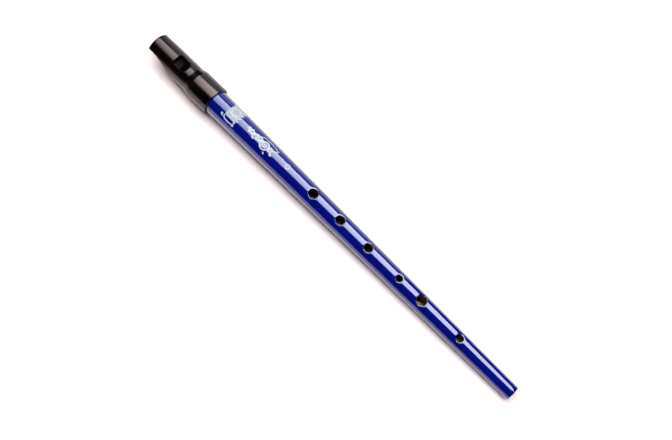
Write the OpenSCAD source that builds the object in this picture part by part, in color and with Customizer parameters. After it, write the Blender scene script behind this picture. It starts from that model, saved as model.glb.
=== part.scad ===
// Tin whistle: a conical tube rolled from tinplate, with six finger holes, and a moulded
// mouthpiece whose socket slides on the tube's wide end to tune it.
// +X runs along the bore from the beak's tip to the tube's foot. +Z points up through the
// window and the finger holes. The origin is on the bore's axis, halfway along the whistle.
// A "station" is a distance along the whistle, measured from the beak's tip.

/* [Overall] */
// Length from the beak's tip to the foot of the tube
total_length = 298; // [290:1:306]

/* [Tube] */
// Outer diameter of the tube at its foot
foot_d = 9.4; // [9:0.1:11]
// Outer diameter of the tube at its wide end, inside the mouthpiece
tube_top_d = 16.75; // [16.5:0.05:17]
// Thickness of the tinplate
sheet_t = 0.35; // [0.3:0.05:0.4]
// Width of the strip where the sheet's two long edges overlap
lap_w = 3; // [2:0.5:4]
// Radius of the solder bead that fills the inner corner of the overlap
solder_r = 0.3; // [0.2:0.05:0.4]

/* [Finger holes] */
// Distance from the foot to the centre of each hole, lowest hole first
hole_from_foot = [42, 72, 90, 115, 138, 160.5]; // [30:0.5:200]
// Diameter of each hole, lowest hole first
hole_d = [4.8, 6.6, 4.6, 5.9, 6.1, 6.4]; // [4:0.1:7]

/* [Mouthpiece] */
// Length of the mouthpiece
head_length = 53; // [52:0.5:56]
// Outer diameter round the beak and the window
head_d = 17.2; // [17:0.1:17.6]
// Outer diameter of the barrel that grips the tube
barrel_d = 19; // [18.8:0.1:20]
// Length of the barrel
barrel_length = 16.2; // [15:0.1:17]
// Length of the sloping shoulder between the head and the barrel
shoulder_length = 4; // [2:0.5:4]
// Radius that rounds the outer edge of the beak's tip
tip_round = 1; // [0.6:0.1:1.2]
// Chamfer on the barrel's outer and inner edge at its mouth
mouth_chamfer = 0.3; // [0.1:0.1:0.4]
// Diameter of the bore that holds the fipple block and the air chamber
bore_d = 14.6; // [14:0.1:14.8]
// Depth of the socket that takes the tube
socket_depth = 16; // [14:0.5:16]
// Radial clearance between the socket and the tube's wide end
socket_clearance = 0.05; // [0.02:0.01:0.1]

/* [Windway] */
// Width of the windway, the window and the ramp
windway_w = 7.8; // [7:0.1:8]
// Height of the windway's floor above the bore's axis
windway_floor = 6; // [5.8:0.1:6.1]
// Height of the windway from floor to roof
windway_h = 1; // [0.8:0.1:1.1]
// Length of the windway, from the beak's tip to the window
windway_length = 18.3; // [17:0.1:19]
// Length of the window, from the windway's end to the blade's edge
window_length = 6.1; // [5:0.1:6.5]
// Height of the blade's flat underside above the bore's axis
blade_underside = 6.4; // [6.3:0.1:6.5]
// Thickness of the blade at its edge
blade_edge_t = 0.25; // [0.2:0.05:0.4]
// Length of the ramp that rises from the blade's edge to the head's outside
ramp_length = 4.4; // [4:0.1:5]

/* [Beak] */
// Height of the beak's underside above the bore's axis at the tip
beak_underside = 4.8; // [4.2:0.1:4.9]
// Length of the flat stretch of the underside, next to the tip
beak_flat = 3; // [2:0.5:4]
// Radius of the hollow curve that runs from the flat down to the back of the head
beak_hollow_r = 38; // [37:0.5:40]
// Thickness of the fipple block between the hollow and the air chamber
block_wall = 1.5; // [1.2:0.1:1.7]
// Station of the fipple block's blunt inner end
block_end = 32; // [31.5:0.1:32]

/* [Hidden] */
$fn = 96;
eps = 0.01;
reach = 40;
tube_length = total_length - head_length + socket_depth;
foot_r = foot_d / 2;
tube_top_r = tube_top_d / 2;
taper = (tube_top_r - foot_r) / tube_length;
head_r = head_d / 2;
barrel_r = barrel_d / 2;
bore_r = bore_d / 2;
socket_r = tube_top_r + socket_clearance;
socket_floor = head_length - socket_depth;
barrel_start = head_length - barrel_length;
shoulder_start = barrel_start - shoulder_length;
blade_station = windway_length + window_length;
ramp_end = blade_station + ramp_length;

// Stands its children on a station, with their +X, +Y and +Z turned to +Y, +Z and +X
module at_station(station) {
    translate([station - total_length / 2, 0, 0])
        rotate([90, 0, 90])
            children();
}

// Block from one station to another, centred on Y, between two heights above the axis
module slab(from, to, width, low, high) {
    translate([from - total_length / 2, -width / 2, low])
        cube([to - from, width, high - low]);
}

// Prism right across the whistle, from a side view drawn with [station, height] points
module side_profile(width) {
    translate([-total_length / 2, width / 2, 0])
        rotate([90, 0, 0])
            linear_extrude(height = width)
                children();
}

// Cone frustum that follows the tube's taper, a given depth in from its outer surface
module tube_cone(depth, extra = 0) {
    at_station(socket_floor - extra)
        cylinder(
            h = tube_length + 2 * extra,
            r1 = tube_top_r - depth + extra * taper,
            r2 = foot_r - depth - extra * taper
        );
}

// Strip along the bottom of the tube, as wide as the overlap
module lap_strip() {
    slab(socket_floor, total_length, lap_w, -2 * tube_top_r, 0);
}

// Rolled and lapped tinplate: the inner edge of the overlap lies inside the cone
module rolled_sheet() {
    difference() {
        tube_cone(0);
        tube_cone(sheet_t, eps);
    }
    intersection() {
        difference() {
            tube_cone(sheet_t / 2);
            tube_cone(2 * sheet_t, eps);
        }
        lap_strip();
    }
}

module finger_holes() {
    for (i = [0 : len(hole_d) - 1])
        translate([total_length / 2 - hole_from_foot[i], 0, 0])
            cylinder(h = reach, d = hole_d[i]);
}

module tube() {
    color("midnightblue")
        difference() {
            rolled_sheet();
            finger_holes();
        }
}

// Straight bead down the whole inner corner of the overlap, parallel to the tapering wall
module seam_solder() {
    margin = 1;
    wall_slope = atan(taper);
    bead_y = lap_w / 2 + solder_r / 2;
    top_r = tube_top_r - sheet_t - taper * margin;
    bead_z = -sqrt(top_r * top_r - bead_y * bead_y) + solder_r / 2;
    bead_length = (tube_length - 2 * margin) / cos(wall_slope);
    color("silver")
        translate([socket_floor + margin - total_length / 2, bead_y, bead_z])
            rotate([0, 90 - wall_slope, 0])
                cylinder(h = bead_length, r = solder_r, $fn = 24);
}

// Outside of the mouthpiece, turned: rounded tip, head, shoulder, barrel and barrel mouth
module head_outside() {
    at_station(0)
        rotate_extrude()
            polygon(concat(
                [[0, 0]],
                [for (a = [0 : 15 : 90])
                    [head_r - tip_round * (1 - sin(a)), tip_round * (1 - cos(a))]],
                [
                    [head_r, shoulder_start],
                    [barrel_r, barrel_start],
                    [barrel_r, head_length - mouth_chamfer],
                    [barrel_r - mouth_chamfer, head_length],
                    [0, head_length]
                ]
            ));
}

// Round bore between two stations, with its top cut flat at a height above the axis
module flat_topped_bore(from, to, flat) {
    intersection() {
        at_station(from)
            cylinder(h = to - from, r = bore_r);
        slab(from, to, 2 * reach, -reach, flat);
    }
}

module socket() {
    at_station(socket_floor)
        cylinder(h = socket_depth + eps, r = socket_r);
    at_station(head_length - mouth_chamfer)
        cylinder(h = 2 * mouth_chamfer, r1 = socket_r, r2 = socket_r + 2 * mouth_chamfer);
}

module windway_and_window() {
    slab(-eps, windway_length + eps, windway_w, windway_floor - eps, windway_floor + windway_h);
    slab(windway_length, blade_station, windway_w, windway_floor - eps, reach);
}

// Sloping cut that leaves the blade facing the windway
module ramp() {
    side_profile(windway_w)
        polygon([
            [blade_station - eps, blade_underside + blade_edge_t],
            [ramp_end, head_r],
            [ramp_end, reach],
            [blade_station - eps, reach]
        ]);
}

// Everything below the beak's underside: a flat at the tip, then a hollow curve
module under_beak() {
    slab(-1, beak_flat, 2 * reach, -reach, beak_underside);
    beak_hollow(beak_hollow_r);
}

module beak_hollow(radius) {
    translate([beak_flat - total_length / 2, reach, beak_underside - beak_hollow_r])
        rotate([90, 0, 0])
            cylinder(h = 2 * reach, r = radius);
}

module mouthpiece() {
    color([0.03, 0.03, 0.035])
        difference() {
            head_outside();
            flat_topped_bore(-eps, windway_length, windway_floor);
            flat_topped_bore(windway_length - eps, socket_floor + eps, blade_underside);
            socket();
            windway_and_window();
            ramp();
            under_beak();
        }
}

// Plug pressed into the beak: its top is the windway's floor, its underside carries on the
// beak's hollow, and behind the window it thins to a curved wall that closes the chamber
module fipple_block() {
    color([0.07, 0.07, 0.08])
        difference() {
            intersection() {
                flat_topped_bore(0, block_end, windway_floor);
                union() {
                    slab(0, windway_length, 2 * reach, -reach, reach);
                    beak_hollow(beak_hollow_r + block_wall);
                }
            }
            under_beak();
        }
}

tube();
seam_solder();
mouthpiece();
fipple_block();
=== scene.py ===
"""Tin whistle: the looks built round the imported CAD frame.

Lengths are in millimetres until a mesh is made, and MM turns them into metres. A "station" is a
distance along the whistle from the beak's tip, as in the CAD source, and +Z points up through
the window and the finger holes.
"""
import math

import bmesh
import bpy
from mathutils import Matrix, Vector


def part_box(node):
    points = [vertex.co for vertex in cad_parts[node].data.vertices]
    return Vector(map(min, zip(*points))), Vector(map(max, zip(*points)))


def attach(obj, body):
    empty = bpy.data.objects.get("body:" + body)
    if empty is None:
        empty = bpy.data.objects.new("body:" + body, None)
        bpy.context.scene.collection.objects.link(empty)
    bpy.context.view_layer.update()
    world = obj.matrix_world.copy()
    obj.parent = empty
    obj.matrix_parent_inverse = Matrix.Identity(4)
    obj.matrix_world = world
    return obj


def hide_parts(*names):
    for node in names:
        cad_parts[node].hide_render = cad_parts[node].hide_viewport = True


MM = 0.001

# ---------------------------------------------------------------- sizes, as in the CAD source
SHEET_T = 0.35
LAP_W = 3.0
SOLDER_R = 0.3
SOLDER_MARGIN = 1.0
HOLE_FROM_FOOT = (42.0, 72.0, 90.0, 115.0, 138.0, 160.5)
HOLE_D = (4.8, 6.6, 4.6, 5.9, 6.1, 6.4)
FOOT_R = 4.7
HEAD_R = 8.6
TIP_ROUND = 1.0
SHOULDER_START = 32.8
BARREL_START = 36.8
BORE_R = 7.3
SOCKET_START = 37.0
SOCKET_R = 8.425
WINDWAY_W = 7.8
WINDWAY_FLOOR = 6.0
WINDWAY_ROOF = 7.0
WINDWAY_END = 18.3
BLADE_START = 24.4
BLADE_LOW = 6.4
BLADE_HIGH = 6.65
RAMP_LENGTH = 4.4
RAMP_RISE = (HEAD_R - BLADE_HIGH) / RAMP_LENGTH
BEAK_LOW = 4.8
BEAK_FLAT = 3.0
HOLLOW_R = 38.0
BLOCK_WALL = 1.5
BLOCK_END = 32.0

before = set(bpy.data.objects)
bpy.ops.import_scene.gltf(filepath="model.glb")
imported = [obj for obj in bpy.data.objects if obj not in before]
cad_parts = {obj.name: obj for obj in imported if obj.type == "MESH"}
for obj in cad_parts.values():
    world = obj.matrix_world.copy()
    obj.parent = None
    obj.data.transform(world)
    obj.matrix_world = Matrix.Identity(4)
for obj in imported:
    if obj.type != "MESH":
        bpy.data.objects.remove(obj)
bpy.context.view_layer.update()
tube_low, tube_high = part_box("tube")
head_low, head_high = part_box("mouthpiece")

TIP_X = head_low.x / MM
FOOT_X = tube_high.x / MM
TUBE_TOP_X = tube_low.x / MM
TUBE_TOP_R = tube_high.z / MM
TAPER = (TUBE_TOP_R - FOOT_R) / (FOOT_X - TUBE_TOP_X)
BARREL_END_X = head_high.x / MM
BARREL_R = min(-head_low.y, -head_low.z) / MM
HEAD_LENGTH = BARREL_END_X - TIP_X


def outer_radius(x):
    """Radius of the tube's outer surface at x, in millimetres."""
    return FOOT_R + (FOOT_X - x) * TAPER


# ---------------------------------------------------------------- mesh helpers
# Edges that turn by more than this stay sharp in the shading
SHARP_TURN = math.radians(35)


class MeshMaker:
    """Collects points and faces in millimetres, and makes one smooth-shaded object of them."""

    def __init__(self):
        self.points = []
        self.faces = []
        self.slots = []

    def point(self, x, y, z):
        """Adds a point and gives its number."""
        self.points.append((x * MM, y * MM, z * MM))
        return len(self.points) - 1

    def face(self, corners, slot=0):
        self.faces.append(corners)
        self.slots.append(slot)

    def strip(self, first, second, slot=0, closed=False):
        """Quads between two rows of points of the same length."""
        count = len(first)
        for i in range(count if closed else count - 1):
            j = (i + 1) % count
            self.face((first[i], first[j], second[j], second[i]), slot)

    def closed_solid(self, outlines):
        """A skin over a series of closed outlines, with a flat face on each end."""
        for first, second in zip(outlines[:-1], outlines[1:]):
            self.strip(first, second, closed=True)
        self.face(tuple(outlines[0]))
        self.face(tuple(reversed(outlines[-1])))

    def build(self, name, materials, merge_mm=0.002):
        """Makes the object, with points nearer to each other than merge_mm made one."""
        mesh = bpy.data.meshes.new(name)
        mesh.from_pydata(self.points, [], self.faces)
        for material in materials:
            mesh.materials.append(material)
        mesh.polygons.foreach_set("material_index", self.slots)
        bm = bmesh.new()
        bm.from_mesh(mesh)
        bmesh.ops.remove_doubles(bm, verts=bm.verts, dist=merge_mm * MM)
        bmesh.ops.recalc_face_normals(bm, faces=bm.faces)
        bm.to_mesh(mesh)
        bm.free()
        mesh.shade_smooth()
        mesh.set_sharp_from_angle(angle=SHARP_TURN)
        obj = bpy.data.objects.new(name, mesh)
        bpy.context.scene.collection.objects.link(obj)
        return obj


def spread(low, high, steps):
    """Evenly spaced numbers from low to high, ends included."""
    return [low + (high - low) * i / steps for i in range(steps + 1)]


# ---------------------------------------------------------------- materials
def new_material(name):
    """An empty material with what its maker needs: its nodes, its links and its shader."""
    material = bpy.data.materials.new(name)
    material.use_nodes = True
    nodes = material.node_tree.nodes
    return material, nodes, material.node_tree.links, nodes["Principled BSDF"]


def object_coords(nodes, links, scale=(1, 1, 1)):
    coords = nodes.new("ShaderNodeTexCoord")
    mapping = nodes.new("ShaderNodeMapping")
    mapping.inputs["Scale"].default_value = scale
    links.new(coords.outputs["Object"], mapping.inputs["Vector"])
    return mapping.outputs["Vector"]


def noise(nodes, links, vector, scale, detail):
    texture = nodes.new("ShaderNodeTexNoise")
    texture.inputs["Scale"].default_value = scale
    texture.inputs["Detail"].default_value = detail
    links.new(vector, texture.inputs["Vector"])
    return texture.outputs["Fac"]


def remap(nodes, links, value, from_low, from_high, to_low, to_high):
    node = nodes.new("ShaderNodeMapRange")
    node.inputs["From Min"].default_value = from_low
    node.inputs["From Max"].default_value = from_high
    node.inputs["To Min"].default_value = to_low
    node.inputs["To Max"].default_value = to_high
    links.new(value, node.inputs["Value"])
    return node.outputs["Result"]


def mix_colours(nodes, links, factor, first, second):
    node = nodes.new("ShaderNodeMix")
    node.data_type = "RGBA"
    node.inputs["A"].default_value = (*first, 1)
    node.inputs["B"].default_value = (*second, 1)
    links.new(factor, node.inputs["Factor"])
    return node.outputs["Result"]


def bump(nodes, links, shader, height, strength, distance):
    node = nodes.new("ShaderNodeBump")
    node.inputs["Strength"].default_value = strength
    node.inputs["Distance"].default_value = distance
    links.new(height, node.inputs["Height"])
    links.new(node.outputs["Normal"], shader.inputs["Normal"])


def enamel_material():
    """Deep blue stoved enamel: a glossy coat with faint orange peel and slow colour drift."""
    material, nodes, links, shader = new_material("blue_enamel")
    place = object_coords(nodes, links)
    drift = noise(nodes, links, place, 60, 2)
    links.new(mix_colours(nodes, links, drift, (0.0005, 0.0032, 0.148), (0.0014, 0.005, 0.176)),
              shader.inputs["Base Color"])
    rub = noise(nodes, links, object_coords(nodes, links, (0.15, 1, 1)), 900, 4)
    links.new(remap(nodes, links, rub, 0.35, 0.75, 0.1, 0.2), shader.inputs["Roughness"])
    shader.inputs["IOR"].default_value = 1.5
    shader.inputs["Specular IOR Level"].default_value = 1.0
    shader.inputs["Specular Tint"].default_value = (0.04, 0.1, 0.35, 1)
    shader.inputs["Coat Weight"].default_value = 1.0
    shader.inputs["Coat IOR"].default_value = 1.7
    shader.inputs["Coat Roughness"].default_value = 0.07
    bump(nodes, links, shader, noise(nodes, links, place, 450, 1), 0.06, 0.0002)
    return material


def tin_material(name, bright, stained, rough_low, rough_high):
    """Tinplate that was never enamelled, streaked along the sheet and stained in patches; the
    bore's copy gets dark colours as painted shade.
    """
    material, nodes, links, shader = new_material(name)
    place = object_coords(nodes, links)
    stain = remap(nodes, links, noise(nodes, links, place, 240, 5), 0.35, 0.7, 0, 1)
    links.new(mix_colours(nodes, links, stain, bright, stained), shader.inputs["Base Color"])
    shader.inputs["Metallic"].default_value = 1.0
    grain = noise(nodes, links, object_coords(nodes, links, (0.1, 1, 1)), 2500, 3)
    links.new(remap(nodes, links, grain, 0.3, 0.7, rough_low, rough_high),
              shader.inputs["Roughness"])
    bump(nodes, links, shader, grain, 0.15, 0.0001)
    return material


def solder_material():
    """Soft solder, dull in patches and a little lumpy."""
    material, nodes, links, shader = new_material("soft_solder")
    place = object_coords(nodes, links)
    dull = noise(nodes, links, place, 700, 4)
    links.new(mix_colours(nodes, links, dull, (0.5, 0.5, 0.48), (0.32, 0.31, 0.29)),
              shader.inputs["Base Color"])
    shader.inputs["Metallic"].default_value = 1.0
    shader.inputs["Roughness"].default_value = 0.5
    bump(nodes, links, shader, noise(nodes, links, place, 900, 2), 0.5, 0.0002)
    return material


def plastic_material(name, base, worn, rough_low, rough_high, shine):
    """Moulded plastic: a fine spark-eroded grain, with rubbed and dusty patches."""
    material, nodes, links, shader = new_material(name)
    place = object_coords(nodes, links)
    patches = remap(nodes, links, noise(nodes, links, place, 90, 4), 0.4, 0.7, 0, 1)
    links.new(mix_colours(nodes, links, patches, base, worn), shader.inputs["Base Color"])
    links.new(remap(nodes, links, patches, 0, 1, rough_low, rough_high),
              shader.inputs["Roughness"])
    shader.inputs["IOR"].default_value = 1.5
    shader.inputs["Specular IOR Level"].default_value = shine
    shader.inputs["Specular Tint"].default_value = (1.0, 0.8, 0.84, 1)
    bump(nodes, links, shader, noise(nodes, links, place, 5000, 2), 0.12, 0.00005)
    return material


def ink_material(name, thick, thin_colour):
    """Printing ink, thin enough in places for the blue to show."""
    material, nodes, links, shader = new_material(name)
    place = object_coords(nodes, links)
    thin = remap(nodes, links, noise(nodes, links, place, 1500, 3), 0.45, 0.75, 0, 1)
    links.new(mix_colours(nodes, links, thin, thick, thin_colour), shader.inputs["Base Color"])
    shader.inputs["Roughness"].default_value = 0.4
    shader.inputs["Specular IOR Level"].default_value = 0.12
    bump(nodes, links, shader, thin, 0.1, 0.00005)
    return material


def floor_material():
    """Matt white paper, very slightly uneven in tone."""
    material, nodes, links, shader = new_material("studio_floor")
    place = object_coords(nodes, links)
    tone = noise(nodes, links, place, 3, 2)
    links.new(mix_colours(nodes, links, tone, (0.86, 0.855, 0.85), (0.88, 0.875, 0.87)),
              shader.inputs["Base Color"])
    shader.inputs["Roughness"].default_value = 0.6
    return material


# ---------------------------------------------------------------- the tube
# Half angle of the strip along the top that holds the finger holes, and its columns
STRIP_HALF = math.radians(56)
STRIP_STEPS = 28
# Columns from the strip to the lap, across the lap, and from the seam back to the strip
LAP_SIDE_STEPS = 30
LAP_STEPS = 6
SEAM_SIDE_STEPS = 34
# Half angle between the two columns that make the step at a free edge
FREE_EDGE_HALF = 0.003
# Each finger hole sits in a patch of the strip that runs this far past it at both ends
PATCH_MARGIN = 1.6
PATCH_STEPS = 20
# Rows between two patches are about this far apart
GAP_STEP = 3.0
# Rounding of the sheet's cut edges, and how far its middle lies in from both faces
EDGE_ROUND = 0.06
EDGE_MIDDLE = EDGE_ROUND * 0.3
# The punch pulls the sheet in round each hole
DISH_DEPTH = 0.15
DISH_WIDTH = 0.42
# Circles of points round a hole, by distance from its edge, on the sheet's two faces
OUTER_CIRCLES = (EDGE_ROUND, 0.12, 0.2, 0.32, 0.48, 0.7, 1.0)
INNER_CIRCLES = (EDGE_ROUND, 0.3, 1.0)
# Rings of points from the last circle out to the patch's border, by share of the way
OUTER_RINGS = (0.3, 0.65, 1)
INNER_RINGS = (0.5, 1)
# Drop from the sheet's outer free edge, and the angles over which both skins come level again
SEAM_STEP = 0.13
SEAM_FADE = math.radians(30)
LAP_FADE = math.radians(14)
# The solder bead is this much slimmer than the CAD one, and its lumps are three waves along
# it as (height, rate in radians per millimetre, phase)
SOLDER_SLIMMER = 0.06
SOLDER_LUMPS = ((0.035, 0.83, 0), (0.025, 2.27, 1), (0.015, 5.1, 0))
ENAMEL, CUT_EDGE, BORE = 0, 1, 2


def seam_angle(x):
    """Angle of the sheet's outer free edge, which shows as a line along the back."""
    return math.pi + math.asin(LAP_W / 2 / outer_radius(x))


def lap_angle(x):
    """Angle of the sheet's inner free edge, inside the bore, where the solder lies."""
    return math.pi - math.asin(LAP_W / 2 / (outer_radius(x) - SHEET_T))


def outer_skin(x, angle):
    """Radius outside: the sheet lies a little lower where it comes out from under its edge."""
    away = angle - seam_angle(x)
    if 0 < away < SEAM_FADE:
        return outer_radius(x) - SEAM_STEP * (1 - away / SEAM_FADE) ** 2
    return outer_radius(x)


def inner_skin(x, angle):
    """Radius inside: the lap doubles the sheet between its free edge and the seam."""
    radius = outer_radius(x) - SHEET_T
    start, end = lap_angle(x), seam_angle(x)
    if start < angle < end:
        return radius - SHEET_T
    away = (angle - end) / LAP_FADE
    if 0 <= away < 1:
        return radius - SHEET_T * (0.5 + 0.5 * math.cos(math.pi * away))
    return radius


def side_angles(x):
    """Columns round the tube outside the strip, with a close pair at each free edge."""
    lap, seam, gap = lap_angle(x), seam_angle(x), FREE_EDGE_HALF
    columns = spread(STRIP_HALF, lap - gap, LAP_SIDE_STEPS)
    columns += spread(lap + gap, seam - gap, LAP_STEPS)
    columns += spread(seam + gap, 2 * math.pi - STRIP_HALF, SEAM_SIDE_STEPS)
    return columns


def top_angles(_):
    """Columns across the strip, which are the same at every x."""
    return spread(-STRIP_HALF, STRIP_HALF, STRIP_STEPS)


def skin_row(maker, x, columns, skin, depth=0.0):
    """A row of points round the tube at x, at a depth under one of the sheet's two skins."""
    made = []
    for angle in columns(x):
        radius = skin(x, angle) - depth
        made.append(maker.point(x, radius * math.sin(angle), radius * math.cos(angle)))
    return made


def border_points(x0, x1):
    """Points round one patch of the strip as (x, angle), from corner to corner."""
    along = spread(x0, x1, PATCH_STEPS)
    columns = top_angles(x0)
    points = [(x0, a) for a in columns[:-1]]
    points += [(x, STRIP_HALF) for x in along[:-1]]
    points += [(x1, a) for a in reversed(columns[1:])]
    points += [(x, -STRIP_HALF) for x in reversed(along[1:])]
    return points


def hole_patch(maker, hole_x, hole_r, x0, x1):
    """The sheet round one punched hole: circles near its edge, then out to a rectangle."""
    border = border_points(x0, x1)
    last_circle = OUTER_CIRCLES[-1]

    def surface(x, y, depth):
        """The point of the sheet over (x, y), at a depth under its outer skin."""
        away = max(math.hypot(x - hole_x, y) - hole_r, 0) / DISH_WIDTH
        radius = outer_radius(x) - depth - DISH_DEPTH * math.exp(-away * away)
        return maker.point(x, y, math.sqrt(radius * radius - y * y))

    def ring(grow, share, depth):
        """A circle that much wider than the hole, moved out to the border by a share."""
        row = []
        for bx, angle in border:
            by = (outer_radius(bx) - depth) * math.sin(angle)
            turn = math.atan2(by, bx - hole_x)
            cx = hole_x + (hole_r + grow) * math.cos(turn)
            cy = (hole_r + grow) * math.sin(turn)
            row.append(surface(cx + (bx - cx) * share, cy + (by - cy) * share, depth))
        return row

    outer = [ring(grow, 0, 0) for grow in OUTER_CIRCLES]
    outer += [ring(last_circle, share, 0) for share in OUTER_RINGS]
    inner = [ring(grow, 0, SHEET_T) for grow in INNER_CIRCLES]
    inner += [ring(last_circle, share, SHEET_T) for share in INNER_RINGS]
    wall = [
        ring(EDGE_MIDDLE, 0, EDGE_MIDDLE),
        ring(0, 0, EDGE_ROUND),
        ring(0, 0, SHEET_T - EDGE_ROUND),
    ]
    for a, b in zip(outer[:-1], outer[1:]):
        maker.strip(a, b, ENAMEL, closed=True)
    for a, b in zip(inner[:-1], inner[1:]):
        maker.strip(b, a, BORE, closed=True)
    edge = [outer[0], *wall, inner[0]]
    for a, b in zip(edge[:-1], edge[1:]):
        maker.strip(b, a, CUT_EDGE, closed=True)


def tube_lines():
    """Rows along the tube as (x, whether a patch owns the strip from here on), and the patches.

    A patch is (the hole's x, its radius, the patch's start, its end).
    """
    lines = []
    patches = []
    x = TUBE_TOP_X
    for from_foot, diameter in sorted(zip(HOLE_FROM_FOOT, HOLE_D), reverse=True):
        hole_x = FOOT_X - from_foot
        reach = diameter / 2 + PATCH_MARGIN
        patches.append((hole_x, diameter / 2, hole_x - reach, hole_x + reach))
        steps = round((hole_x - reach - x) / GAP_STEP)
        lines += [(v, False) for v in spread(x, hole_x - reach, steps)[:-1]]
        lines += [(v, True) for v in spread(hole_x - reach, hole_x + reach, PATCH_STEPS)[:-1]]
        x = hole_x + reach
    steps = round((FOOT_X - x) / GAP_STEP)
    lines += [(v, False) for v in spread(x, FOOT_X - EDGE_ROUND, steps)]
    return lines, patches


def tube(enamel, tin, bore_tin_painted_shade):
    """Rolled tinplate, enamelled outside: six punched holes, a lapped seam and a bare cut foot."""
    maker = MeshMaker()
    lines, patches = tube_lines()
    for patch in patches:
        hole_patch(maker, *patch)
    for columns, has_holes in ((side_angles, False), (top_angles, True)):
        for (x0, in_patch), (x1, _) in zip(lines[:-1], lines[1:]):
            if has_holes and in_patch:
                continue
            maker.strip(skin_row(maker, x1, columns, outer_skin),
                        skin_row(maker, x0, columns, outer_skin), ENAMEL)
            maker.strip(skin_row(maker, x0, columns, inner_skin),
                        skin_row(maker, x1, columns, inner_skin), BORE)
        end = FOOT_X - EDGE_ROUND
        rim = [
            skin_row(maker, end, columns, outer_skin),
            skin_row(maker, FOOT_X - EDGE_MIDDLE, columns, outer_skin, EDGE_MIDDLE),
            skin_row(maker, FOOT_X, columns, outer_skin, EDGE_ROUND),
            skin_row(maker, FOOT_X, columns, inner_skin, -EDGE_ROUND),
            skin_row(maker, end, columns, inner_skin),
        ]
        for a, b in zip(rim[:-1], rim[1:]):
            maker.strip(b, a, CUT_EDGE)
        maker.strip(skin_row(maker, TUBE_TOP_X, columns, outer_skin),
                    skin_row(maker, TUBE_TOP_X, columns, inner_skin), CUT_EDGE)
    # The bore's material carries painted shade: its tin is darkened for the shadowed inside of the
    # tube.
    obj = maker.build("enamelled_tube", [enamel, tin, bore_tin_painted_shade])
    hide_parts("tube")
    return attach(obj, "tube")


def solder_bead(solder):
    """The fillet of solder run down the inner corner of the lap, uneven as it was drawn along."""
    maker = MeshMaker()
    steps, corners = 220, 14
    # Both ends of the bead taper to this share of its thickness, over about this many steps
    end_share, end_steps = 0.35, 4
    y = LAP_W / 2 + SOLDER_R / 2
    rows = []
    for i, x in enumerate(spread(TUBE_TOP_X + SOLDER_MARGIN, FOOT_X - SOLDER_MARGIN, steps)):
        fade = min(1.0, end_share + min(i, steps - i) / end_steps)
        lump = sum(height * math.sin(x * rate + phase) for height, rate, phase in SOLDER_LUMPS)
        radius = (SOLDER_R - SOLDER_SLIMMER + lump) * fade
        wall = outer_radius(x) - SHEET_T
        z = -math.sqrt(wall * wall - y * y) + SOLDER_R / 2
        rows.append([maker.point(x, y + radius * math.cos(2 * math.pi * k / corners),
                                 z + radius * math.sin(2 * math.pi * k / corners))
                     for k in range(corners)])
    maker.closed_solid(rows)
    obj = maker.build("solder_fillet", [solder])
    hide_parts("seam_solder")
    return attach(obj, "tube")


# ---------------------------------------------------------------- the mouthpiece
TURNED_CORNERS = 124
# Below this height flat-topped bores of one radius have the same, evenly spaced corners, so
# that they meet without slivers
EVEN_BELOW = 5.5
EVEN_STEPS = 110
FLAT_SIDE_STEPS = 3
# Where the cutting tools end, clear of the whistle: past its ends, above, below and across it
PAST = 1
ABOVE = 30
BELOW = -40
WIDE = 60
# Edges of the moulding that turn by more than this stay sharp, or are rounded as a rim
MOULDED_TURN = math.radians(30)
RIM_ROUND = 0.08
# The window's rim lies above this height and the beak's lower rim below it
RIM_PARTING = 5.2
# The beak's lower rim is rounded where it is this far from the tip and from the bore
CLEAR_OF_TIP = 0.95
CLEAR_OF_BORE = 0.15
# The window's rim is rounded where it is this near to the head's outside, but not where the
# ramp runs out, which is this far past the blade's edge and in from the window's sides
NEAR_OUTSIDE = 0.25
PAST_BLADE = 2.4
IN_FROM_SIDE = 0.05


def arc(u, v, radius, start, end, steps):
    """Points along a circle's arc, with its angles in degrees."""
    return [(u + radius * math.cos(math.radians(a)), v + radius * math.sin(math.radians(a)))
            for a in spread(start, end, steps)]


def turned(name, profile):
    """A solid of revolution on the bore's axis, from (station, radius) points."""
    maker = MeshMaker()
    turns = [2 * math.pi * i / TURNED_CORNERS for i in range(TURNED_CORNERS)]
    rows = [[maker.point(TIP_X + station, radius * math.sin(turn), radius * math.cos(turn))
             for turn in turns] for station, radius in profile]
    maker.closed_solid(rows)
    return maker.build(name, [])


def across(name, outline, width):
    """A prism across the whistle, from a side view drawn with (station, height) points."""
    maker = MeshMaker()
    sides = [[maker.point(TIP_X + station, y, z) for station, z in outline]
             for y in (-width / 2, width / 2)]
    maker.closed_solid(sides)
    return maker.build(name, [])


def flat_topped_bore(name, start, end, radius, flat):
    """A round bar along the whistle with its top cut flat at a height above the axis."""
    maker = MeshMaker()
    edge = math.degrees(math.acos(flat / radius))
    low = math.degrees(math.acos(EVEN_BELOW / radius))
    outline = arc(0, 0, radius, 90 + edge, 90 + low, FLAT_SIDE_STEPS)[:-1]
    outline += arc(0, 0, radius, 90 + low, 450 - low, EVEN_STEPS)
    outline += arc(0, 0, radius, 450 - low, 450 - edge, FLAT_SIDE_STEPS)[1:]
    ends = [[maker.point(TIP_X + station, y, z) for y, z in outline] for station in (start, end)]
    maker.closed_solid(ends)
    return maker.build(name, [])


def carve(solid, tool):
    """Cuts the tool's shape out of the solid's own mesh, and takes the tool away."""
    cut = solid.modifiers.new("cut", "BOOLEAN")
    cut.object = tool
    cut.operation = "DIFFERENCE"
    cut.solver = "EXACT"
    view = bpy.context.evaluated_depsgraph_get()
    carved = bpy.data.meshes.new_from_object(solid.evaluated_get(view))
    solid.modifiers.clear()
    old = solid.data
    solid.data = carved
    bpy.data.meshes.remove(old)
    bpy.data.objects.remove(tool)


def moulded(solid, material):
    """Gives a carved solid its plastic and its smooth curves."""
    mesh = solid.data
    mesh.materials.clear()
    mesh.materials.append(material)
    mesh.polygons.foreach_set("material_index", [0] * len(mesh.polygons))
    mesh.shade_smooth()
    mesh.set_sharp_from_angle(angle=MOULDED_TURN)


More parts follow.
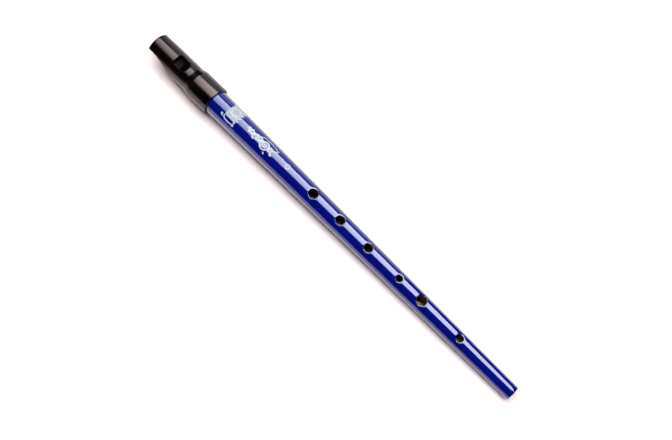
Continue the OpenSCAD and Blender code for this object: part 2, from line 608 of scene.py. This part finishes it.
def on_a_rim(middle):
    """Whether a place in millimetres is on the window's upper rim or on the beak's lower rim."""
    radius = math.hypot(middle.y, middle.z)
    if middle.z < RIM_PARTING:
        return middle.x > TIP_X + CLEAR_OF_TIP and radius > BORE_R + CLEAR_OF_BORE
    past_blade = middle.x - TIP_X > BLADE_START + PAST_BLADE
    over_ramp = past_blade and abs(middle.y) < WINDWAY_W / 2 - IN_FROM_SIDE
    return radius > HEAD_R - NEAR_OUTSIDE and not over_ramp


def round_rims(solid):
    """Rounds the sharp rims that show outside, and no other edges."""
    bm = bmesh.new()
    bm.from_mesh(solid.data)
    weight = bm.edges.layers.float.new("bevel_weight_edge")
    for edge in bm.edges:
        middle = (edge.verts[0].co + edge.verts[1].co) / 2 / MM
        if on_a_rim(middle) and edge.calc_face_angle(0) > MOULDED_TURN:
            edge[weight] = 1
    bm.to_mesh(solid.data)
    bm.free()
    edges = solid.modifiers.new("moulded_edges", "BEVEL")
    edges.width = RIM_ROUND * MM
    edges.segments = 3
    edges.limit_method = "WEIGHT"
    edges.use_clamp_overlap = False
    edges.harden_normals = True


def hollow_curve(radius, low, high, steps):
    """Places on a curve concentric with the beak's hollow, between two stations."""
    centre = BEAK_LOW - HOLLOW_R
    return [(station, centre + math.sqrt(radius ** 2 - (station - BEAK_FLAT) ** 2))
            for station in spread(low, high, steps)]


def under_beak():
    """The tool that cuts the beak's underside: a flat at the tip, then the hollow."""
    end, steps = 36, 72
    outline = [(-PAST, BELOW), (-PAST, BEAK_LOW)]
    outline += hollow_curve(HOLLOW_R, BEAK_FLAT, end, steps)
    outline += [(end, BELOW)]
    return across("under_beak", outline, WIDE)


def head_outside():
    """Outline from the rounded tip over the filleted shoulder to the barrel's lip."""
    turn = math.degrees(math.atan2(BARREL_R - HEAD_R, BARREL_START - SHOULDER_START))
    blend_low, blend_high = 5.0, 3.0
    reach_low = blend_low * math.tan(math.radians(turn / 2))
    reach_high = blend_high * math.tan(math.radians(turn / 2))
    first_ring, last_ring, ring_steps = 2.1, 31.1, 29
    lip = 0.35
    outline = arc(TIP_ROUND, HEAD_R - TIP_ROUND, TIP_ROUND, 180, 90, 10)
    outline += [(station, HEAD_R) for station in spread(first_ring, last_ring, ring_steps)]
    outline += arc(SHOULDER_START - reach_low, HEAD_R + blend_low, blend_low, 270, 270 + turn, 8)
    outline += arc(BARREL_START + reach_high, BARREL_R - blend_high, blend_high, 90 + turn, 90, 8)
    outline += arc(HEAD_LENGTH - lip, BARREL_R - lip, lip, 90, 0, 6)
    return outline


def mouthpiece(plastic):
    """The moulded shell: beak, windway, window with its blade, shoulder, and barrel."""
    shell = turned("moulded_mouthpiece", head_outside())
    mouth_round = 0.25
    socket = [(SOCKET_START, SOCKET_R)]
    socket += arc(HEAD_LENGTH - mouth_round, SOCKET_R + mouth_round, mouth_round, 270, 360, 6)
    socket += [(HEAD_LENGTH + PAST, SOCKET_R + mouth_round)]
    # Windway, window and ramp are cut as one, from a little under the windway's floor
    low = WINDWAY_FLOOR - 0.1
    ramp_reach = 6
    opening = [
        (-PAST, low),
        (BLADE_START, low),
        (BLADE_START, BLADE_HIGH),
        (BLADE_START + ramp_reach, BLADE_HIGH + ramp_reach * RAMP_RISE),
        (BLADE_START + ramp_reach, ABOVE),
        (WINDWAY_END, ABOVE),
        (WINDWAY_END, WINDWAY_ROOF),
        (-PAST, WINDWAY_ROOF),
    ]
    # The chamber's tool overlaps the bore's and the socket's, so that no skin is left between
    chamber_start, chamber_end = WINDWAY_END - 0.01, SOCKET_START + 0.5
    carve(shell, flat_topped_bore("bore", -PAST, WINDWAY_END, BORE_R, WINDWAY_FLOOR))
    carve(shell, flat_topped_bore("chamber", chamber_start, chamber_end, BORE_R, BLADE_LOW))
    carve(shell, turned("socket", socket))
    carve(shell, across("opening", opening, WINDWAY_W))
    carve(shell, under_beak())
    moulded(shell, plastic)
    round_rims(shell)
    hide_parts("mouthpiece")
    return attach(shell, "head")


def fipple_block(plastic):
    """The plug in the beak: windway floor above, hollow below, and a curved wall behind."""
    start, gap = 0.02, 0.015
    block = flat_topped_bore("pressed_fipple_block", start, BLOCK_END, BORE_R - gap,
                             WINDWAY_FLOOR - gap)
    behind = BLOCK_END + PAST
    chamber = [(WINDWAY_END, ABOVE)]
    chamber += hollow_curve(HOLLOW_R + BLOCK_WALL, WINDWAY_END, behind, 40)
    chamber += [(behind, ABOVE)]
    carve(block, across("chamber", chamber, WIDE))
    carve(block, under_beak())
    moulded(block, plastic)
    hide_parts("fipple_block")
    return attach(block, "head")


# ---------------------------------------------------------------- printed ornaments
# Places in an ornament are (u, v) in millimetres from its middle: u runs along the tube
# towards the foot, and v runs round it towards +Y. Headings turn from +u towards +v.
INK_PROUD = 0.03
INK_SUNK = 0.03
# Each shape stands this much prouder than the one before, so that no two tops coincide
INK_STEP = 0.0005
THINNEST_STROKE = 0.04
# Middle of each ornament as (distance from the tip, distance round from the top line)
ROSETTE_AT = (69.3, 1.9)
VINE_AT = (92.7, 0.0)
RING_AT = (115.4, 0.4)


class InkMaker(MeshMaker):
    """Thin printed shapes, drawn flat in millimetres and wrapped on the tube round a place."""

    def __init__(self, place, layer=0):
        super().__init__()
        self.place_x = TIP_X + place[0]
        self.place_v = place[1]
        self.layer = layer

    def wrapped(self, u, v, proud):
        x = self.place_x + u
        radius = outer_radius(x)
        angle = (self.place_v + v) / outer_radius(self.place_x)
        return self.point(x, (radius + proud) * math.sin(angle), (radius + proud) * math.cos(angle))

    def sheet(self, rows, closed=False):
        """A closed thin body over a grid of (u, v) places."""
        self.layer += 1
        top_at = INK_PROUD + INK_STEP * self.layer
        top = [[self.wrapped(u, v, top_at) for u, v in row] for row in rows]
        low = [[self.wrapped(u, v, -INK_SUNK) for u, v in row] for row in rows]
        for i in range(len(rows) - 1):
            self.strip(top[i], top[i + 1], 0, closed)
            self.strip(low[i + 1], low[i], 0, closed)
        self.strip(low[0], top[0], 0, closed)
        self.strip(top[-1], low[-1], 0, closed)
        if not closed:
            self.strip([r[0] for r in top], [r[0] for r in low])
            self.strip([r[-1] for r in low], [r[-1] for r in top])

    def frame(self, path, inner, outer):
        """A band round a closed path, from one share of its size to another."""
        self.sheet([[(u * inner, v * inner) for u, v in path],
                    [(u * outer, v * outer) for u, v in path]], closed=True)

    def stroke(self, path, width, columns=2):
        """A line along a list of places, with its width given by a function of 0 to 1."""
        rows = []
        for i, (u, v) in enumerate(path):
            before = path[max(i - 1, 0)]
            after = path[min(i + 1, len(path) - 1)]
            du, dv = after[0] - before[0], after[1] - before[1]
            size = math.hypot(du, dv)
            half = max(width(i / (len(path) - 1)), THINNEST_STROKE) / 2
            rows.append([(u - dv / size * half * k, v + du / size * half * k)
                         for k in spread(-1, 1, columns)])
        self.sheet(rows)

    def ring(self, u, v, inner, outer, steps=36):
        """A flat ring round a place."""
        turns = [2 * math.pi * i / steps for i in range(steps)]
        rows = [[(u + r * math.cos(a), v + r * math.sin(a)) for a in turns]
                for r in (inner, outer)]
        self.sheet(rows, closed=True)

    def disc(self, u, v, radius):
        """A ring whose hole is too small to see."""
        self.ring(u, v, 0.02, radius, 20)

    def leaf(self, u, v, heading, length, width, bend=0.0):
        """A pointed leaf from its stalk end, with its heading and bend in degrees."""
        path = []
        for t in spread(0, 1, 12):
            turn = math.radians(heading + bend * t)
            path.append((u + length * t * math.cos(turn), v + length * t * math.sin(turn)))
        self.stroke(path, lambda t: width * math.sin(math.pi * t) ** 0.7, 4)

    def line(self, path, width):
        """A line of even width with rounded ends."""
        self.stroke(path, lambda t: width * min(1, (min(t, 1 - t) * len(path) / 2) ** 0.5))

    def finished(self, name, material):
        obj = self.build(name, [material], merge_mm=0.0001)
        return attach(obj, "tube")


def rounded_oblong(half_u, half_v, corner):
    """Points round an oblong with round corners, spaced closely enough to wrap on the tube."""
    bends = []
    for side_u, side_v, start in ((1, 1, 0), (-1, 1, 90), (-1, -1, 180), (1, -1, 270)):
        bends.append(arc(side_u * (half_u - corner), side_v * (half_v - corner), corner,
                         start, start + 90, 6))
    outline = []
    for bend, following in zip(bends, bends[1:] + bends[:1]):
        outline += bend
        (u0, v0), (u1, v1) = bend[-1], following[0]
        outline += [(u0 + (u1 - u0) * t, v0 + (v1 - v0) * t) for t in spread(0, 1, 12)[1:-1]]
    return outline


def rosette(white_ink, grey_ink):
    """A white panel with a framed flower drawn in grey, a fringe of leaves, and a ribbon beside."""
    half_u, half_v = 4.3, 5.4
    outline = rounded_oblong(half_u, half_v, 1.3)
    maker = InkMaker(ROSETTE_AT)
    maker.sheet([[(u * size, v * size) for u, v in outline] for size in spread(0.01, 1, 12)],
                closed=True)
    for v in (-3.6, -1.2, 1.2, 3.6):
        maker.leaf(half_u - 0.25, v, 0, 1.5, 1.1)
    maker.leaf(-half_u + 0.25, 4.2, 180, 1.3, 1.0)
    sweep_v, sweep, bend, turn_at = 4.0, 11.8, 1.6, 256
    bend_u = (sweep - bend) * math.cos(math.radians(turn_at))
    bend_v = sweep_v + (sweep - bend) * math.sin(math.radians(turn_at))
    ribbon = arc(bend_u, bend_v, bend, 160, turn_at, 10)
    ribbon += arc(0, sweep_v, sweep, turn_at, 286, 16)[1:]
    maker.line(ribbon, 0.8)
    maker.disc(-6.0, -6.2, 0.75)
    maker.disc(-5.2, -7.1, 0.4)
    maker.disc(3.9, -7.6, 0.85)
    maker.leaf(4.2, -4.8, 250, 1.9, 1.0)
    maker.finished("printed_rosette", white_ink)
    # The grey lines start on a layer above all the white shapes
    lines = InkMaker(ROSETTE_AT, layer=24)
    lines.frame(outline, 0.86, 0.91)
    lines.frame(outline, 0.66, 0.73)
    petals, petal_start = 8, 0.8
    for i in range(petals):
        turn = 2 * math.pi * i / petals
        lines.leaf(petal_start * math.cos(turn), petal_start * math.sin(turn),
                   math.degrees(turn), 1.5, 0.75)
    lines.disc(0, 0, 0.45)
    for side in (-1, 1):
        lines.leaf(side * 1.9, 3.1, 90 + side * 50, 1.2, 0.6)
        lines.leaf(side * 1.9, -3.1, 270 - side * 50, 1.2, 0.6)
    lines.finished("printed_rosette_lines", grey_ink)


def vine(white_ink):
    """A leafy stem that ends in a curl round a flower."""
    start_u = -12

    def stem_v(u):
        return 0.7 * math.sin((u - start_u) * 0.95)

    maker = InkMaker(VINE_AT)
    maker.line([(u, stem_v(u)) for u in spread(start_u, 1.5, 40)], 0.75)
    for i in range(6):
        u = -11.4 + 2.1 * i
        v = stem_v(u)
        size = 2.3 + 0.25 * i
        maker.leaf(u, v + 0.2, 62, size, 1.45, -35)
        maker.leaf(u + 0.9, v - 0.2, -58, size * 0.9, 1.35, 30)
    curl_u, curl_v = 3.6, 0.1
    curl = []
    for t in spread(0, 1, 60):
        turn = math.radians(195 + 520 * t)
        radius = 3.5 - 2.4 * t
        curl.append((curl_u + radius * math.cos(turn), curl_v + radius * math.sin(turn)))
    maker.line(curl, 0.85)
    maker.disc(curl_u, curl_v, 0.6)
    flower_u, flower_v, flower_r = 8.2, -0.2, 0.4
    for i in range(5):
        heading = 72 * (i + 0.3)
        turn = math.radians(heading)
        maker.leaf(flower_u + flower_r * math.cos(turn), flower_v + flower_r * math.sin(turn),
                   heading, 1.7, 1.3)
    tail = [(-1.5 + 13.6 * t, 3.2 - 0.3 * t + math.sin(math.pi * t)) for t in spread(0, 1, 30)]
    maker.line(tail, 0.5)
    maker.leaf(8.6, -1.6, -35, 2.8, 1.4, 20)
    maker.leaf(10.2, 0.9, 25, 2.2, 1.2, 15)
    maker.leaf(5.4, -3.6, -50, 1.7, 1.0)
    maker.disc(12.2, 2.8, 0.5)
    maker.finished("printed_vine", white_ink)


def small_ring(white_ink):
    """A small ring with a dot in it."""
    maker = InkMaker(RING_AT)
    maker.ring(0, 0, 1.05, 1.75)
    maker.disc(0, 0, 0.45)
    maker.finished("printed_ring", white_ink)


# ---------------------------------------------------------------- stage, lights and camera
FLOOR_HALF = 0.5
# The gloss sees a nearly black room, while the light with which the room fills shadows is
# weak and warm. One softbox lights the surfaces and doesn't show in the gloss. The other
# softbox and the card only shine in it.
ROOM_IN_GLOSS = 0.004
ROOM_FILL = 0.13
ROOM_TINT = (1.0, 0.66, 0.66)
# The shining softbox fades over this share of its length, down to this share of its strength
FADE_LENGTH = 0.58
FADE_TO = 0.2


def floor():
    """A plane that touches the barrel's lowest point and the foot's, as a table does."""
    back = Vector((BARREL_END_X, 0, -BARREL_R)) * MM
    front = Vector((FOOT_X, 0, -FOOT_R)) * MM
    slope = math.atan2(front.z - back.z, front.x - back.x)
    mesh = bpy.data.meshes.new("floor")
    sides = ((-1, -1), (1, -1), (1, 1), (-1, 1))
    corners = [(FLOOR_HALF * x, FLOOR_HALF * y, 0) for x, y in sides]
    mesh.from_pydata(corners, [], [(0, 1, 2, 3)])
    mesh.materials.append(floor_material())
    obj = bpy.data.objects.new("floor", mesh)
    obj.matrix_world = Matrix.Translation(back) @ Matrix.Rotation(-slope, 4, "Y")
    bpy.context.scene.collection.objects.link(obj)


def area_light(name, place, aim, along, size, watts, colour):
    """A rectangular light at place, facing aim, with its long side as near as can be to along."""
    light = bpy.data.lights.new(name, "AREA")
    light.shape = "RECTANGLE"
    light.size, light.size_y = size
    light.energy = watts
    light.color = colour
    back = (Vector(place) - Vector(aim)).normalized()
    up = back.cross(Vector(along)).normalized()
    side = up.cross(back)
    obj = bpy.data.objects.new(name, light)
    obj.matrix_world = Matrix((
        (side.x, up.x, back.x, place[0]),
        (side.y, up.y, back.y, place[1]),
        (side.z, up.z, back.z, place[2]),
        (0, 0, 0, 1),
    ))
    bpy.context.scene.collection.objects.link(obj)
    return obj


def dim_one_end(light):
    """Makes a light fade towards one end of its length."""
    light.use_nodes = True
    nodes, links = light.node_tree.nodes, light.node_tree.links
    place = nodes.new("ShaderNodeNewGeometry")
    split = nodes.new("ShaderNodeSeparateXYZ")
    links.new(place.outputs["Parametric"], split.inputs["Vector"])
    level = remap(nodes, links, split.outputs["X"], 0.0, FADE_LENGTH, FADE_TO, 1.0)
    links.new(level, nodes["Emission"].inputs["Strength"])


def room():
    """The world: white where the camera sees it, and dim in the gloss and as a fill."""
    world = bpy.data.worlds.new("studio")
    world.use_nodes = True
    nodes, links = world.node_tree.nodes, world.node_tree.links
    background = nodes["Background"]
    path = nodes.new("ShaderNodeLightPath")
    tint = mix_colours(nodes, links, path.outputs["Is Camera Ray"], ROOM_TINT, (1, 1, 1))
    links.new(tint, background.inputs["Color"])
    fill = remap(nodes, links, path.outputs["Is Diffuse Ray"], 0, 1, ROOM_IN_GLOSS, ROOM_FILL)
    shown = nodes.new("ShaderNodeMath")
    shown.operation = "MAXIMUM"
    links.new(fill, shown.inputs[0])
    links.new(path.outputs["Is Camera Ray"], shown.inputs[1])
    links.new(shown.outputs["Value"], background.inputs["Strength"])
    bpy.context.scene.world = world


def lights():
    """A softbox overhead, a second one that shines in the gloss, and a card low on one side."""
    softbox = area_light(
        "softbox",
        place=(-0.1, 0.15, 1.1),
        aim=(-0.1, 0.15, 0.0),
        along=(1, 0, 0),
        size=(2.0, 0.9),
        watts=28.5,
        colour=(1.0, 0.905, 0.91),
    )
    softbox.visible_glossy = False
    shine = area_light(
        "softbox_shine",
        place=(-0.24, 0.44, 1.0),
        aim=(-0.24, 0.44, 0.0),
        along=(0.95, 0.56, 0),
        size=(1.4, 1.07),
        watts=38,
        colour=(1.0, 0.99, 0.95),
    )
    shine.visible_diffuse = False
    dim_one_end(shine.data)
    card = area_light(
        "side_card",
        place=(-0.27, 1.11, 0.28),
        aim=(0.73, 0.67, 0.28),
        along=(-0.4, -0.9, 0),
        size=(1.1, 0.56),
        watts=1.8,
        colour=(0.66, 0.88, 1.0),
    )
    card.visible_diffuse = False


def camera():
    """Half a metre above the foot's end, looking down and a little towards the mouthpiece."""
    data = bpy.data.cameras.new("camera")
    data.sensor_width = 36
    data.lens = 49.0
    obj = bpy.data.objects.new("camera", data)
    place = Vector((0.1053, -0.1486, 0.5073))
    right = Vector((0.7013, 0.7091, 0.0733)).normalized()
    forward = Vector((-0.181, 0.2765, -0.9438)).normalized()
    up = right.cross(forward).normalized()
    right = forward.cross(up)
    obj.matrix_world = Matrix((
        (right.x, up.x, -forward.x, place.x),
        (right.y, up.y, -forward.y, place.y),
        (right.z, up.z, -forward.z, place.z),
        (0, 0, 0, 1),
    ))
    bpy.context.scene.collection.objects.link(obj)
    bpy.context.scene.camera = obj


# ---------------------------------------------------------------- making it all
bpy.context.scene.view_settings.view_transform = "Standard"
camera()
tube(
    enamel_material(),
    tin_material("cut_tinplate", bright=(0.6, 0.6, 0.59), stained=(0.42, 0.4, 0.38),
                 rough_low=0.18, rough_high=0.35),
    # The bore's tin colours are painted shade: dark brown for the shadowed inside of the tube, with
    # random stained patches on top.
    tin_material("bore_tinplate_painted_shade", bright=(0.18, 0.14, 0.11), stained=(0.1, 0.07, 0.05),
                 rough_low=0.3, rough_high=0.5),
)
solder_bead(solder_material())
white = ink_material("white_ink", thick=(0.46, 0.56, 0.58), thin_colour=(0.35, 0.45, 0.52))
grey = ink_material("grey_ink", thick=(0.18, 0.235, 0.3), thin_colour=(0.12, 0.165, 0.25))
rosette(white, grey)
vine(white)
small_ring(white)
mouthpiece(plastic_material(
    "black_moulding",
    base=(0.0006, 0.0003, 0.0003),
    worn=(0.0015, 0.0008, 0.0008),
    rough_low=0.16,
    rough_high=0.24,
    shine=0.74,
))
fipple_block(plastic_material(
    "block_moulding",
    base=(0.0015, 0.001, 0.0012),
    worn=(0.004, 0.0028, 0.003),
    rough_low=0.6,
    rough_high=0.75,
    shine=0.15,
))
floor()
room()
lights()
